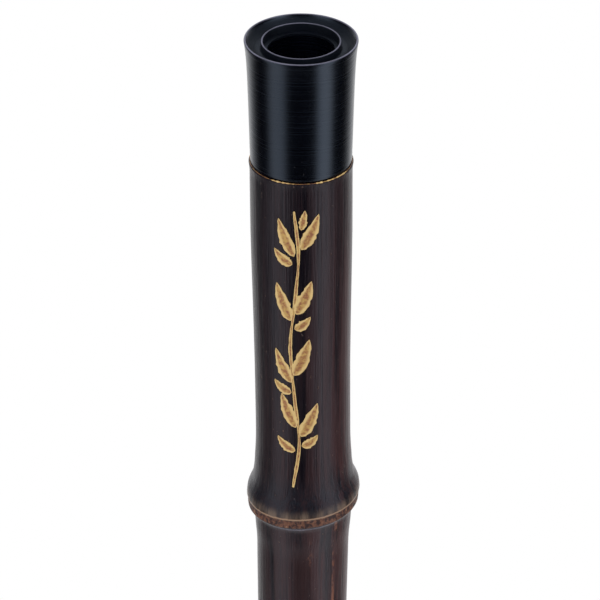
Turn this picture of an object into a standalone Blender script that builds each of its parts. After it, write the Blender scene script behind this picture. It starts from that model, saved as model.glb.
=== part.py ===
"""A dizi, the Chinese transverse bamboo flute, standing upright on its foot.

Two bamboo sections slide together on a brass joint, and a turned horn cap
closes each end of the pole. +Z runs up the bore to the head end, the origin
is the centre of the foot's flat end, and the blow hole, the membrane hole
and the finger holes face -Y. Units are metres.

Places are distances down from the head rim, which is how a flute maker sets
out the holes. Each follows from the one above it, so any spacing can change.
"""

import math

import bmesh
import bpy
from mathutils import Matrix

MM = 0.001

# Bore and fits
BORE_R = 7.75 * MM
SEAT_GAP = 0.3 * MM
SLIDE_GAP = 0.3 * MM

# Bamboo walls, measured outward from the bore
WALL_HEAD_EDGE = 4.50 * MM
WALL_HEAD = 4.30 * MM
WALL_HEAD_WAIST = 3.82 * MM
WALL_FIRST_NODE = 3.90 * MM
WALL_BLOW_HOLE = 3.45 * MM
WALL_MEMBRANE = 3.60 * MM
WALL_JOINT = 3.65 * MM
WALL_FINGER_HOLES = 3.50 * MM
WALL_FOOT = 3.30 * MM
EDGE_FLARE_LENGTH = 2.5 * MM
HEAD_STRAIGHT = 19.0 * MM
WAIST_ABOVE_NODE = 38.0 * MM

# Node rings: distance down from the ring's centre, and height above the wall.
# The pole swells to the thin bead of the old sheath scar, runs level over the
# band below it and steps back sharply to the next internode.
NODE_SWELLING = (
    (-15.0 * MM, 0.12 * MM),
    (-12.0 * MM, 0.30 * MM),
    (-9.0 * MM, 0.50 * MM),
    (-6.0 * MM, 0.97 * MM),
    (-4.3 * MM, 1.65 * MM),
    (-3.0 * MM, 2.18 * MM),
    (-2.0 * MM, 2.34 * MM),
    (-1.1 * MM, 2.42 * MM),
    (-0.5 * MM, 2.24 * MM),
    (1.7 * MM, 2.12 * MM),
    (2.1 * MM, 1.90 * MM),
    (2.7 * MM, 0.95 * MM),
    (3.4 * MM, 0.62 * MM),
    (5.0 * MM, 0.48 * MM),
    (8.0 * MM, 0.33 * MM),
    (13.0 * MM, 0.10 * MM),
)

# Spacings along the flute, from the head rim to the foot
HEAD_CAP_LENGTH = 31.0 * MM
CAP_TO_FIRST_NODE = 95.0 * MM
NODE_TO_BLOW_HOLE = 38.0 * MM
BLOW_HOLE_TO_MEMBRANE = 83.0 * MM
MEMBRANE_TO_SOCKET = 9.0 * MM
RING_TO_SECOND_NODE = 15.0 * MM
NODE_TO_FIRST_HOLE = 21.0 * MM
FINGER_HOLE_STEPS = (25.0 * MM, 27.0 * MM, 29.0 * MM, 26.0 * MM, 30.0 * MM)
LAST_HOLE_TO_NODE = 25.0 * MM
NODE_TO_VENT = 24.0 * MM
VENT_STEP = 25.0 * MM
BACK_VENT_SHIFT = 11.0 * MM
VENT_TO_SPIGOT = 8.0 * MM
FOOT_CAP_LENGTH = 31.0 * MM

# Turned horn caps
SPIGOT_LENGTH = 13.0 * MM
SPIGOT_WALL = 1.4 * MM
SPIGOT_CHAMFER = 0.4 * MM
HEAD_CAP_STEP = 0.35 * MM
HEAD_CAP_TAPER = 0.66 * MM
HEAD_LIP_WIDTH = 0.15 * MM
FOOT_CAP_STEP = 0.10 * MM
FOOT_CAP_TAPER = 1.05 * MM
FOOT_LIP_WIDTH = 2.2 * MM
RIM_FLARE = 0.62 * MM
FLARE_REACH = 4.0 * MM
RIM_ROUND = 0.5 * MM
GROOVE_DEPTH = 2.6 * MM
GROOVE_WIDTH = 1.1 * MM
BORE_RING_WALL = 0.45 * MM
BORE_RING_DROP = 0.45 * MM
BORE_LEDGE_WIDTH = 1.0 * MM
BORE_LEDGE_DEPTH = 2.6 * MM

# Brass joint: the foot section's tenon slides in the head section's socket
TENON_STEP = 0.25 * MM
TENON_WALL = 0.7 * MM
TENON_REACH = 30.0 * MM
TENON_SEAT = 20.0 * MM
SOCKET_WALL = 0.8 * MM
SOCKET_EXTRA = 2.0 * MM
RING_LENGTH = 8.0 * MM
RING_WALL = 0.8 * MM
RING_LIP = 0.8 * MM
RING_ROUND = 0.3 * MM
RING_SEAT_CUT = 0.15 * MM

# Stopper and membrane
CORK_TO_BLOW_HOLE = 14.0 * MM
CORK_LENGTH = 18.0 * MM
CORK_CHAMFER = 0.6 * MM
MEMBRANE_LENGTH = 16.0 * MM
MEMBRANE_SWEEP = math.radians(72)
MEMBRANE_THICKNESS = 0.12 * MM
MEMBRANE_STEPS = 12

# Holes
BLOW_HOLE_LENGTH = 11.5 * MM
BLOW_HOLE_WIDTH = 10.0 * MM
BLOW_HOLE_UNDERCUT = 0.4 * MM
MEMBRANE_HOLE_R = 4.2 * MM
FINGER_HOLE_RADII = (4.4 * MM, 4.5 * MM, 4.5 * MM, 4.4 * MM, 4.6 * MM, 4.6 * MM)
VENT_R = 4.0 * MM
CUTTER_MARGIN = 2.0 * MM

FULL_TURN = math.tau
SEGMENTS = 40
HOLE_SEGMENTS = 24
SHARP_ANGLE = math.radians(32)

# Sizes that follow
TENON_BORE_R = BORE_R + TENON_STEP
TENON_R = TENON_BORE_R + TENON_WALL
SOCKET_BORE_R = TENON_R + SLIDE_GAP
SOCKET_R = SOCKET_BORE_R + SOCKET_WALL
SPIGOT_R = BORE_R + SPIGOT_WALL
SOCKET_LENGTH = TENON_REACH + SOCKET_EXTRA

# Places that follow, from the head rim down
TUBE_TOP = HEAD_CAP_LENGTH + SEAT_GAP
FIRST_NODE = HEAD_CAP_LENGTH + CAP_TO_FIRST_NODE
BLOW_HOLE = FIRST_NODE + NODE_TO_BLOW_HOLE
CORK = BLOW_HOLE - CORK_TO_BLOW_HOLE - CORK_LENGTH / 2
MEMBRANE_HOLE = BLOW_HOLE + BLOW_HOLE_TO_MEMBRANE
SOCKET_TOP = MEMBRANE_HOLE + MEMBRANE_TO_SOCKET
JOINT = SOCKET_TOP + SOCKET_LENGTH
HEAD_SECTION_END = JOINT - SEAT_GAP / 2
FOOT_SECTION_TOP = JOINT + SEAT_GAP / 2
SECOND_NODE = JOINT + RING_LENGTH + RING_TO_SECOND_NODE
FINGER_HOLES = [SECOND_NODE + NODE_TO_FIRST_HOLE]
for step in FINGER_HOLE_STEPS:
    FINGER_HOLES.append(FINGER_HOLES[-1] + step)
THIRD_NODE = FINGER_HOLES[-1] + LAST_HOLE_TO_NODE
FRONT_VENTS = [THIRD_NODE + NODE_TO_VENT, THIRD_NODE + NODE_TO_VENT + VENT_STEP]
BACK_VENTS = [place + BACK_VENT_SHIFT for place in FRONT_VENTS]
TUBE_END = BACK_VENTS[-1] + VENT_TO_SPIGOT + SPIGOT_LENGTH
LENGTH = TUBE_END + FOOT_CAP_LENGTH
NODES = (FIRST_NODE, SECOND_NODE, THIRD_NODE)

# The pole's outside between the nodes: place and wall
POLE = (
    (TUBE_TOP, WALL_HEAD_EDGE),
    (TUBE_TOP + EDGE_FLARE_LENGTH, WALL_HEAD),
    (TUBE_TOP + HEAD_STRAIGHT, WALL_HEAD),
    (FIRST_NODE - WAIST_ABOVE_NODE, WALL_HEAD_WAIST),
    (FIRST_NODE, WALL_FIRST_NODE),
    (BLOW_HOLE, WALL_BLOW_HOLE),
    (MEMBRANE_HOLE, WALL_MEMBRANE),
    (JOINT, WALL_JOINT),
    (FINGER_HOLES[0], WALL_FINGER_HOLES),
    (FINGER_HOLES[-1], WALL_FINGER_HOLES),
    (TUBE_END, WALL_FOOT),
)


def clear_scene():
    for obj in list(bpy.data.objects):
        bpy.data.objects.remove(obj)


def new_collection(name):
    collection = bpy.data.collections.new(name)
    bpy.context.scene.collection.children.link(collection)
    return collection


def new_material(name, colour, roughness, metallic=0.0):
    made = bpy.data.materials.new(name)
    made.use_nodes = True
    shader = made.node_tree.nodes["Principled BSDF"]
    shader.inputs["Base Color"].default_value = (*colour, 1.0)
    shader.inputs["Roughness"].default_value = roughness
    shader.inputs["Metallic"].default_value = metallic
    return made


def height_of(place):
    """Height above the foot of a place measured down from the head rim."""
    return LENGTH - place


def eased(share):
    """Runs from 0 to 1 with a level start and a level end."""
    return share * share * (3 - 2 * share)


def interpolate(points, at, ease=lambda share: share):
    """Value at a distance along a list of (distance, value) points."""
    if at <= points[0][0]:
        return points[0][1]
    for (start, low), (end, high) in zip(points, points[1:]):
        if at <= end:
            return low + (high - low) * ease((at - start) / (end - start))
    return points[-1][1]


def pole_radius(place):
    """Outer radius of the bamboo, with the swelling of any node near by."""
    radius = BORE_R + interpolate(POLE, place, eased)
    first, last = NODE_SWELLING[0][0], NODE_SWELLING[-1][0]
    for node in NODES:
        if first <= place - node <= last:
            radius += interpolate(NODE_SWELLING, place - node)
    return radius


def pole_places(top, bottom):
    """Every place between two ends where the bamboo's outline turns."""
    places = [place for place, wall in POLE]
    places += [node + offset for node in NODES for offset, height in NODE_SWELLING]
    places += [(high + low) / 2 for (high, a), (low, b) in zip(POLE[2:], POLE[3:])]
    return [top] + sorted(p for p in places if top < p < bottom) + [bottom]


def arc(centre, radius, start, end, steps):
    """Points on an arc in an outline; angles in degrees, 0 outward and 90 up."""
    points = []
    for i in range(steps + 1):
        angle = math.radians(start + (end - start) * i / steps)
        out = centre[0] + radius * math.cos(angle)
        down = centre[1] - radius * math.sin(angle)
        points.append((out, down))
    return points


def cap_outline(neck_radius, taper, length, lip_width):
    """Outline of an end cap, as radius and distance from its rim.

    It runs from the lip down the flared outside, round the spigot that plugs
    the bamboo, back up the bore to a ledge, over the thin ring round the bore
    and across the dished groove to the lip.
    """

    def outside(down):
        flare = RIM_FLARE * math.exp(-down / FLARE_REACH)
        return neck_radius + taper * (1 - down / length) + flare

    rim_radius = outside(RIM_ROUND)
    points = arc((rim_radius - RIM_ROUND, RIM_ROUND), RIM_ROUND, 90, 0, 4)
    for down in (length * 0.1, length * 0.2, length * 0.35, length * 0.65, length):
        points.append((outside(down), down))
    spigot_end = length + SPIGOT_LENGTH
    points += [
        (SPIGOT_R, length),
        (SPIGOT_R, spigot_end - SPIGOT_CHAMFER),
        (SPIGOT_R - SPIGOT_CHAMFER, spigot_end),
        (BORE_R, spigot_end),
        (BORE_R, BORE_LEDGE_DEPTH),
        (BORE_R + BORE_LEDGE_WIDTH, BORE_LEDGE_DEPTH),
    ]
    crest_radius = BORE_RING_WALL / 2
    crest = (BORE_R + BORE_LEDGE_WIDTH + crest_radius, BORE_RING_DROP + crest_radius)
    points += arc(crest, crest_radius, 180, 0, 4)
    groove_radius = crest[0] + crest_radius
    lip_inner = rim_radius - RIM_ROUND - lip_width
    wall_foot = min(groove_radius + GROOVE_WIDTH, lip_inner - RIM_ROUND / 2)
    points += [
        (groove_radius, GROOVE_DEPTH),
        (wall_foot, GROOVE_DEPTH),
        (lip_inner, 0.0),
    ]
    return points


def turned(name, outline, place, section, collection, sweep=FULL_TURN, steps=SEGMENTS):
    """Turns an outline of (radius, distance down) points about the bore.

    Outlines run down the outside first. One that starts off the axis and is
    swept all round is a closed loop; one that starts on it closes at its poles.
    """
    mesh = bpy.data.meshes.new(name)
    points = [(radius, 0.0, -down) for radius, down in outline]
    edges = [(i, i + 1) for i in range(len(points) - 1)]
    if outline[0][0] > 0 and sweep == FULL_TURN:
        edges.append((len(points) - 1, 0))
    mesh.from_pydata(points, edges, [])
    obj = bpy.data.objects.new(name, mesh)
    collection.objects.link(obj)
    obj.parent = section
    obj.location.z = height_of(place) - section.location.z
    screw = obj.modifiers.new("turn", "SCREW")
    screw.axis = "Z"
    screw.angle = sweep
    screw.steps = steps
    screw.render_steps = steps
    screw.use_merge_vertices = True
    screw.merge_threshold = 0.00001
    return obj


def hole_cutter(name, place, radius, cutters, side=-1, length=None, undercut=0.0):
    """A round or oval plug through one wall of the bamboo, wider inside."""
    mesh = bpy.data.meshes.new(name)
    outer = pole_radius(place) + CUTTER_MARGIN
    inner = BORE_R - CUTTER_MARGIN
    shape = bmesh.new()
    bmesh.ops.create_cone(
        shape,
        cap_ends=True,
        segments=HOLE_SEGMENTS,
        radius1=radius + undercut,
        radius2=radius,
        depth=outer - inner,
    )
    if length:
        stretch = Matrix.Diagonal((1.0, length / (2 * radius), 1.0, 1.0))
        bmesh.ops.transform(shape, matrix=stretch, verts=shape.verts)
    shape.to_mesh(mesh)
    shape.free()
    obj = bpy.data.objects.new(name, mesh)
    cutters.objects.link(obj)
    obj.location = (0.0, side * (outer + inner) / 2, height_of(place))
    obj.rotation_euler.x = -side * math.pi / 2
    obj.hide_render = True
    obj.display_type = "WIRE"
    return obj


def drill(obj, cutter):
    cut = obj.modifiers.new(cutter.name, "BOOLEAN")
    cut.operation = "DIFFERENCE"
    cut.solver = "EXACT"
    cut.object = cutter


def finish(obj, material):
    """Fixes the modelled shape, shades its round faces and gives its material."""
    bpy.context.view_layer.update()
    graph = bpy.context.evaluated_depsgraph_get()
    mesh = bpy.data.meshes.new_from_object(obj.evaluated_get(graph))
    mesh.name = obj.name
    obj.modifiers.clear()
    obj.data = mesh
    mesh.materials.clear()
    mesh.materials.append(material)
    mesh.shade_smooth()
    mesh.set_sharp_from_angle(angle=SHARP_ANGLE)


def build_caps(head, foot, parts, horn):
    """Horn end caps, one plugged into each end of the pole."""
    neck = pole_radius(TUBE_TOP) - HEAD_CAP_STEP
    outline = cap_outline(neck, HEAD_CAP_TAPER, HEAD_CAP_LENGTH, HEAD_LIP_WIDTH)
    finish(turned("head_cap", outline, 0.0, head, parts), horn)

    neck = pole_radius(TUBE_END) - FOOT_CAP_STEP
    length = FOOT_CAP_LENGTH - SEAT_GAP
    outline = cap_outline(neck, FOOT_CAP_TAPER, length, FOOT_LIP_WIDTH)
    upside_down = [(radius, -down) for radius, down in reversed(outline)]
    finish(turned("foot_cap", upside_down, LENGTH, foot, parts), horn)


def head_tube_outline():
    """Outside of the head section, then its socket seat, bore and cap seat."""
    end = HEAD_SECTION_END - RING_LIP - SEAT_GAP
    ring_top = HEAD_SECTION_END - RING_LENGTH - SEAT_GAP
    seat = ring_seat_radius()
    outline = [(pole_radius(p), p) for p in pole_places(TUBE_TOP, ring_top)]
    outline += [
        (seat, ring_top),
        (seat, end),
        (SOCKET_R + SEAT_GAP, end),
        (SOCKET_R + SEAT_GAP, SOCKET_TOP - SEAT_GAP),
        (BORE_R, SOCKET_TOP - SEAT_GAP),
        (BORE_R, HEAD_CAP_LENGTH + SPIGOT_LENGTH + SEAT_GAP),
        (SPIGOT_R + SEAT_GAP, HEAD_CAP_LENGTH + SPIGOT_LENGTH + SEAT_GAP),
        (SPIGOT_R + SEAT_GAP, TUBE_TOP),
    ]
    return outline


def foot_tube_outline():
    """Outside of the foot section, then its cap seat, bore and tenon seat."""
    top = FOOT_SECTION_TOP + RING_LIP + SEAT_GAP
    ring_end = FOOT_SECTION_TOP + RING_LENGTH + SEAT_GAP
    seat = ring_seat_radius()
    tenon_seat_end = JOINT + TENON_SEAT + SEAT_GAP
    spigot_seat_top = TUBE_END - SPIGOT_LENGTH
    outline = [(seat, top), (seat, ring_end)]
    outline += [(pole_radius(p), p) for p in pole_places(ring_end, TUBE_END)]
    outline += [
        (SPIGOT_R + SEAT_GAP, TUBE_END),
        (SPIGOT_R + SEAT_GAP, spigot_seat_top),
        (BORE_R, spigot_seat_top),
        (BORE_R, tenon_seat_end),
        (TENON_R + SEAT_GAP, tenon_seat_end),
        (TENON_R + SEAT_GAP, top),
    ]
    return outline


def ring_seat_radius():
    """Radius that the bamboo is turned down to under a ferrule."""
    return pole_radius(JOINT) - RING_SEAT_CUT


def build_tubes(head, foot, parts, cutters, bamboo):
    """The two bamboo sections, bored, seated and drilled."""
    tube = turned("head_tube", head_tube_outline(), 0.0, head, parts)
    drill(
        tube,
        hole_cutter(
            "blow_hole",
            BLOW_HOLE,
            BLOW_HOLE_WIDTH / 2,
            cutters,
            length=BLOW_HOLE_LENGTH,
            undercut=BLOW_HOLE_UNDERCUT,
        ),
    )
    drill(tube, hole_cutter("membrane_hole", MEMBRANE_HOLE, MEMBRANE_HOLE_R, cutters))
    finish(tube, bamboo)

    tube = turned("foot_tube", foot_tube_outline(), 0.0, foot, parts)
    holes = zip(FINGER_HOLES, FINGER_HOLE_RADII)
    for number, (place, radius) in enumerate(holes, start=1):
        drill(tube, hole_cutter(f"finger_hole_{number}", place, radius, cutters))
    for number, place in enumerate(FRONT_VENTS, start=1):
        drill(tube, hole_cutter(f"front_vent_{number}", place, VENT_R, cutters))
    for number, place in enumerate(BACK_VENTS, start=1):
        drill(tube, hole_cutter(f"back_vent_{number}", place, VENT_R, cutters, side=1))
    finish(tube, bamboo)


def ring_outline(inner_lip_radius):
    """A ferrule: a short sleeve with a lip turned in over the bamboo's end."""
    inner = ring_seat_radius() + SEAT_GAP
    outer = inner + RING_WALL
    outline = arc((outer - RING_ROUND, RING_ROUND), RING_ROUND, 90, 0, 2)
    outline += [
        (outer, RING_LENGTH),
        (inner, RING_LENGTH),
        (inner, RING_LIP),
        (inner_lip_radius, RING_LIP),
        (inner_lip_radius, 0.0),
    ]
    return outline


def build_joint(head, foot, parts, brass):
    """Brass socket and tenon, and the ferrule that rings each bamboo end."""
    sleeve = [
        (SOCKET_R, 0.0),
        (SOCKET_R, SOCKET_LENGTH - SEAT_GAP / 2),
        (SOCKET_BORE_R, SOCKET_LENGTH - SEAT_GAP / 2),
        (SOCKET_BORE_R, 0.0),
    ]
    finish(turned("joint_socket", sleeve, SOCKET_TOP, head, parts), brass)

    tenon = [
        (TENON_R - TENON_WALL / 2, 0.0),
        (TENON_R, TENON_WALL / 2),
        (TENON_R, TENON_REACH + TENON_SEAT),
        (TENON_BORE_R, TENON_REACH + TENON_SEAT),
        (TENON_BORE_R, 0.0),
    ]
    finish(turned("joint_tenon", tenon, JOINT - TENON_REACH, foot, parts), brass)

    outline = ring_outline(SOCKET_R + SEAT_GAP)
    upside_down = [(radius, -down) for radius, down in reversed(outline)]
    ring = turned("socket_ring", upside_down, HEAD_SECTION_END, head, parts)
    finish(ring, brass)

    outline = ring_outline(TENON_R + SEAT_GAP)
    finish(turned("tenon_ring", outline, FOOT_SECTION_TOP, foot, parts), brass)


def build_cork(head, parts, cork):
    """Cork stopper above the blow hole, its ends chamfered to push in."""
    radius = BORE_R - SEAT_GAP
    half = CORK_LENGTH / 2
    outline = [
        (0.0, -half),
        (radius - CORK_CHAMFER, -half),
        (radius, CORK_CHAMFER - half),
        (radius, half - CORK_CHAMFER),
        (radius - CORK_CHAMFER, half),
        (0.0, half),
    ]
    finish(turned("head_cork", outline, CORK, head, parts), cork)


def build_membrane(head, parts, film):
    """Reed film stretched over its hole, a curved sheet on the bamboo."""
    half = MEMBRANE_LENGTH / 2
    outline = [
        (pole_radius(MEMBRANE_HOLE - half) + SEAT_GAP, -half),
        (pole_radius(MEMBRANE_HOLE + half) + SEAT_GAP, half),
    ]
    sheet = turned(
        "membrane",
        outline,
        MEMBRANE_HOLE,
        head,
        parts,
        sweep=MEMBRANE_SWEEP,
        steps=MEMBRANE_STEPS,
    )
    sheet.rotation_euler.z = -math.pi / 2 - MEMBRANE_SWEEP / 2
    thick = sheet.modifiers.new("thickness", "SOLIDIFY")
    thick.thickness = MEMBRANE_THICKNESS
    thick.offset = 1.0
    finish(sheet, film)


def build():
    clear_scene()
    parts = new_collection("dizi")
    cutters = new_collection("cutters")
    cutters.hide_render = True

    horn = new_material("black horn", (0.006, 0.008, 0.014), 0.32)
    bamboo = new_material("dark bamboo", (0.045, 0.018, 0.016), 0.28)
    brass = new_material("brass", (0.78, 0.57, 0.24), 0.28, metallic=1.0)
    cork = new_material("cork", (0.42, 0.26, 0.14), 0.85)
    film = new_material("reed film", (0.86, 0.80, 0.66), 0.45)

    foot = bpy.data.objects.new("foot_section", None)
    head = bpy.data.objects.new("head_section", None)
    parts.objects.link(foot)
    parts.objects.link(head)
    head.location.z = height_of(JOINT)

    build_caps(head, foot, parts, horn)
    build_tubes(head, foot, parts, cutters, bamboo)
    build_joint(head, foot, parts, brass)
    build_cork(head, parts, cork)
    build_membrane(head, parts, film)


build()
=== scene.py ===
"""A dark bamboo dizi with horn caps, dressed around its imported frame.

Sections follow the flute as it is put together: the two bamboo sections, the
horn caps, their glue line, the gilded carving, the brass joint, the cork and
the membrane. Lengths are in metres, unless a comment says millimetres.
"""

import math

import bpy
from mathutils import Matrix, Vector, noise


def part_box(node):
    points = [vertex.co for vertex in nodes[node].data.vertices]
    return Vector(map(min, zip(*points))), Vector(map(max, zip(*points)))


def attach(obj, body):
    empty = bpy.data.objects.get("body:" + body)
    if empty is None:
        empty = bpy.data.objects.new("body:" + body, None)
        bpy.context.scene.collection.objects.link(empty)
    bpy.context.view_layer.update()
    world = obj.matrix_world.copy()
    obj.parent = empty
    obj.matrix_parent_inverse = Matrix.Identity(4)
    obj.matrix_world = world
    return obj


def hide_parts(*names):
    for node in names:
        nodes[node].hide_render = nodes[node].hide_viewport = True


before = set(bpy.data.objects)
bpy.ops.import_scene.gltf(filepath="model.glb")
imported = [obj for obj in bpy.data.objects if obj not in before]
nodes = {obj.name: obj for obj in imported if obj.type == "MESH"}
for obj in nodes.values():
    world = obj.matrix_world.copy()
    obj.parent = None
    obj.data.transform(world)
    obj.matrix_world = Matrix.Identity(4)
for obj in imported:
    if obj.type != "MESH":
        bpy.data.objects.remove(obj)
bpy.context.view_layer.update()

# Camera. It stands before the holes' side and above the flute, and looks down
# on the head end by about 32 degrees, through a long lens.
CAMERA_PLACE = (-0.00025, -0.6288, 0.9269)
CAMERA_TILT = math.radians(58.13)
LENS_MM = 185.4
SENSOR_MM = 36.0

camera = bpy.data.objects.new("camera", bpy.data.cameras.new("camera"))
bpy.context.scene.collection.objects.link(camera)
camera.location = CAMERA_PLACE
camera.rotation_euler = (CAMERA_TILT, 0.0, 0.0)
camera.data.lens = LENS_MM
camera.data.sensor_width = SENSOR_MM
bpy.context.scene.camera = camera
bpy.context.scene.view_settings.view_transform = "Standard"

# Studio. A white sweep all round, seen in the gloss as two tall soft panels in
# front and a bright wall behind, with three soft lamps above the flute.
WHITE = (1.0, 1.0, 1.0, 1.0)
FILL_LEVEL = 0.6
GLOSS_LEVEL = 0.004

# Each panel's bearing and half width in degrees, and its strength.
LEFT_PANEL = (-55.0, 17.0, 0.92)
RIGHT_PANEL = (54.0, 15.0, 1.30)

# How far a panel is full and how far it still glows, as shares of its half width.
PANEL_CORE = 0.45
PANEL_GLOW = 1.75

# Bearings in degrees where the wall behind begins and where it is full.
WALL_START = 107.0
WALL_END = 155.0

# Each lamp's name, place, width and power in watts.
LAMPS = (
    ("key_lamp", (-0.9, -1.0, 1.9), 1.0, 17.0),
    ("side_lamp", (1.1, -0.6, 1.7), 1.0, 9.0),
    ("back_lamp", (0.2, 1.2, 1.8), 1.2, 9.0),
)
AIM = (0.0, 0.0, 0.3)


def node(tree, kind, inputs=None, **settings):
    """A shader node with its settings, and its inputs as values or links."""
    made = tree.nodes.new(kind)
    for name, value in settings.items():
        setattr(made, name, value)
    for key, value in (inputs or {}).items():
        if isinstance(value, bpy.types.NodeSocket):
            tree.links.new(value, made.inputs[key])
        else:
            made.inputs[key].default_value = value
    return made


def maths(tree, operation, first, second=0.0, clamp=False):
    """One step of arithmetic on two values, held between 0 and 1 if clamped."""
    inputs = {0: first, 1: second}
    return node(tree, "ShaderNodeMath", inputs, operation=operation, use_clamp=clamp).outputs[0]


def span(tree, value, low, high, start=0.0, end=1.0):
    """Eases from start to end as the value goes from low to high."""
    inputs = {"Value": value, 1: low, 2: high, 3: start, 4: end}
    kind = "ShaderNodeMapRange"
    return node(tree, kind, inputs, interpolation_type="SMOOTHSTEP").outputs[0]


def panel(tree, bearing, centre, half_width, strength):
    """A tall soft panel in the studio: bright within its width."""
    away = maths(tree, "ABSOLUTE", maths(tree, "SUBTRACT", bearing, centre))
    return span(tree, away, half_width * PANEL_CORE, half_width * PANEL_GLOW, strength, 0.0)


world = bpy.data.worlds.new("studio")
world.use_nodes = True
bpy.context.scene.world = world
tree = world.node_tree
tree.nodes.clear()
direction = node(tree, "ShaderNodeTexCoord").outputs["Generated"]
parts = node(tree, "ShaderNodeSeparateXYZ", {0: direction}).outputs
toward = maths(tree, "MULTIPLY", parts["Y"], -1.0)
radians = maths(tree, "ARCTAN2", parts["X"], toward)
bearing = maths(tree, "MULTIPLY", radians, 180.0 / math.pi)
wall = span(tree, maths(tree, "ABSOLUTE", bearing), WALL_START, WALL_END)
seen = maths(tree, "ADD", panel(tree, bearing, *LEFT_PANEL), panel(tree, bearing, *RIGHT_PANEL))
seen = maths(tree, "MAXIMUM", seen, wall)
seen = maths(tree, "ADD", seen, GLOSS_LEVEL)
ray = node(tree, "ShaderNodeLightPath").outputs
plain = maths(tree, "MAXIMUM", ray["Is Camera Ray"], ray["Is Transmission Ray"])
diffuse_part = maths(tree, "MULTIPLY", ray["Is Diffuse Ray"], FILL_LEVEL)
glossy_part = maths(tree, "MULTIPLY", ray["Is Glossy Ray"], seen)
level = maths(tree, "ADD", plain, maths(tree, "ADD", diffuse_part, glossy_part))
shader = node(tree, "ShaderNodeBackground", {"Color": WHITE, "Strength": level})
node(tree, "ShaderNodeOutputWorld", {0: shader.outputs[0]})

for name, place, size, power in LAMPS:
    lamp = bpy.data.objects.new(name, bpy.data.lights.new(name, "AREA"))
    bpy.context.scene.collection.objects.link(lamp)
    lamp.data.shape = "DISK"
    lamp.data.size = size
    lamp.data.energy = power
    lamp.location = place
    lamp.rotation_euler = (Vector(AIM) - Vector(place)).to_track_quat("-Z", "Y").to_euler()
    lamp.visible_camera = False
    lamp.visible_glossy = False

# Floor. A pale round table top under the foot, with a faint paper grain. It
# fades into the white sweep before its edge is reached.
FLOOR_RADIUS = 0.55
FLOOR_FADE = 0.30
FLOOR_EDGE = 0.98
FLOOR_DROP = 0.0002
FLOOR_STEPS = 96
FLOOR_COLOUR = (0.80, 0.80, 0.80, 1.0)
FLOOR_PALE = (0.83, 0.83, 0.83, 1.0)
FLOOR_LIFT = 0.30
PAPER_GRAIN = (420.0, 4.0)
PAPER_RELIEF = (0.0001, 0.3)


def mixed(tree, share, first, second):
    """Colour mixed from one to another by a share."""
    inputs = {0: share, 6: first, 7: second}
    return node(tree, "ShaderNodeMix", inputs, data_type="RGBA").outputs[2]


def new_material(name):
    """An empty material and its node tree."""
    made = bpy.data.materials.new(name)
    made.use_nodes = True
    made.node_tree.nodes.clear()
    return made, made.node_tree


def object_place(tree):
    """Where a point of the piece lies, fixed to the piece."""
    return node(tree, "ShaderNodeTexCoord").outputs["Object"]


def even_noise(tree, place, scale, detail):
    """Noise that is alike in all directions."""
    inputs = {"Vector": place, "Scale": scale, "Detail": detail}
    return node(tree, "ShaderNodeTexNoise", inputs).outputs[0]


def relief(tree, height, distance, strength):
    """Fine relief, finer than the mesh shows, as a normal."""
    inputs = {"Height": height, "Distance": distance, "Strength": strength}
    return node(tree, "ShaderNodeBump", inputs).outputs[0]


def dress(obj, material):
    """Gives a piece its one material."""
    obj.data.materials.clear()
    obj.data.materials.append(material)


bpy.ops.object.select_all(action="DESELECT")
bpy.ops.mesh.primitive_circle_add(
    vertices=FLOOR_STEPS, radius=FLOOR_RADIUS, fill_type="NGON", location=(0, 0, -FLOOR_DROP)
)
floor = bpy.context.object
floor.name = "floor"
bpy.ops.object.transform_apply(location=True)
floor_paper, tree = new_material("floor_paper")
place = object_place(tree)
reach = node(tree, "ShaderNodeVectorMath", {0: place}, operation="LENGTH").outputs["Value"]
share = span(tree, reach, FLOOR_FADE, FLOOR_RADIUS * FLOOR_EDGE)
flecks = even_noise(tree, place, *PAPER_GRAIN)
ray = node(tree, "ShaderNodeLightPath").outputs
matt = node(
    tree,
    "ShaderNodeBsdfPrincipled",
    {
        "Base Color": mixed(tree, flecks, FLOOR_COLOUR, FLOOR_PALE),
        "Roughness": 0.9,
        "Specular IOR Level": 0.1,
        "Emission Color": WHITE,
        "Emission Strength": maths(tree, "MULTIPLY", ray["Is Camera Ray"], FLOOR_LIFT),
        "Normal": relief(tree, flecks, *PAPER_RELIEF),
    },
)
clear = node(tree, "ShaderNodeBsdfTransparent")
fade = node(tree, "ShaderNodeMixShader", {0: share, 1: matt.outputs[0], 2: clear.outputs[0]})
node(tree, "ShaderNodeOutputMaterial", {0: fade.outputs[0]})
dress(floor, floor_paper)

# The bamboo pole, in two sections. Each is a length of dark cane, bored out,
# stained and polished, with the swollen rings of its nodes left natural.
MM = 0.001
WELD = 0.000002
SMOOTH_ANGLE = math.radians(38)
TURN_STEPS = 144
OUTLINE_STEP = 1.0 * MM
BORE_R = 7.75 * MM
EDGE_CHAMFER = 0.35 * MM
HEAD_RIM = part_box("head_cap")[1].z

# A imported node's point farther out than this lies on the skin, and a level
# of the skin counts where it has this many points round it.
SKIN_R = 10.3 * MM
FULL_RING = 30

# The rings of the nodes, in millimetres down from the head rim, how steeply
# each leans, and how far along the cane the lean is felt.
NODES_DOWN = (126.0, 311.0, 494.0)
NODE_PLACES = tuple(HEAD_RIM - MM * down for down in NODES_DOWN)
NODE_TILTS = (0.066, -0.03, 0.045)
TILT_REACH = 20.0 * MM

# Sideways sway of the head section's cane, in millimetres: down from the head
# rim, and aside.
SWAY = (
    (256.0, 0.0),
    (200.0, 0.15),
    (150.0, 0.40),
    (126.0, 0.55),
    (108.0, 0.52),
    (85.0, 0.36),
    (60.0, 0.14),
    (31.3, 0.0),
)

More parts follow.
